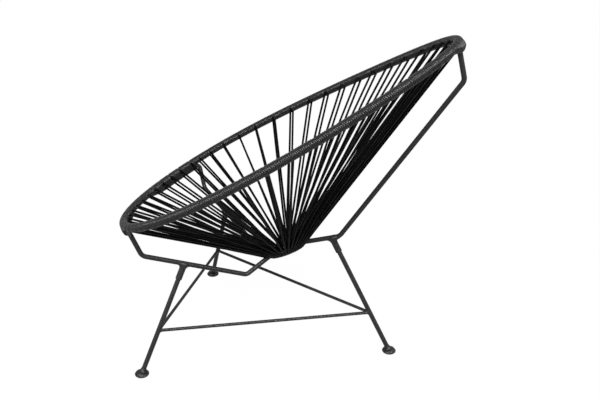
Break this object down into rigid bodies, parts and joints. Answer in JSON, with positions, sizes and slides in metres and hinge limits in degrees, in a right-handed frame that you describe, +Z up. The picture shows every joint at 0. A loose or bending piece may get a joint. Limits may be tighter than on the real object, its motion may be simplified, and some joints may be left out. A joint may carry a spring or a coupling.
{
  "type": "lounge chair",
  "caption": "Black lounge chair: a pear-shaped hoop strung with vinyl cord as a bucket seat, on a bent steel rod frame with three splayed legs.",
  "frame": {"origin": "middle of the chair's width and depth, on the floor", "axes": "+Z up, the sitter faces -Y, +X is the sitter's left"},
  "size_m": [0.7214, 0.8632, 0.8691],
  "materials": {
    "powder_coat": "satin black powder coat",
    "vinyl_cord": "smooth black vinyl cord",
    "glide": "matt black"
  },
  "bodies": {
    "root": {"back_frame_bar": "powder_coat", "foot_glide_back": "glide", "foot_glide_left": "glide", "foot_glide_right": "glide", "front_frame_bar_left": "powder_coat", "front_frame_bar_right": "powder_coat", "inner_ring": "powder_coat", "leg_back": "powder_coat", "leg_brace_front": "powder_coat", "leg_brace_left": "powder_coat", "leg_brace_right": "powder_coat", "leg_left": "powder_coat", "leg_right": "powder_coat", "leg_socket_back": "powder_coat", "leg_socket_left": "powder_coat", "leg_socket_right": "powder_coat", "seat_cord_front": "vinyl_cord", "seat_cord_left_1": "vinyl_cord", "seat_cord_left_2": "vinyl_cord", "seat_cord_left_3": "vinyl_cord", "seat_cord_left_4": "vinyl_cord", "seat_cord_left_5": "vinyl_cord", "seat_cord_left_6": "vinyl_cord", "seat_cord_right_1": "vinyl_cord", "seat_cord_right_2": "vinyl_cord", "seat_cord_right_3": "vinyl_cord", "seat_cord_right_4": "vinyl_cord", "seat_cord_right_5": "vinyl_cord", "seat_cord_right_6": "vinyl_cord", "seat_hoop": "powder_coat"}
  },
  "joints": []
}
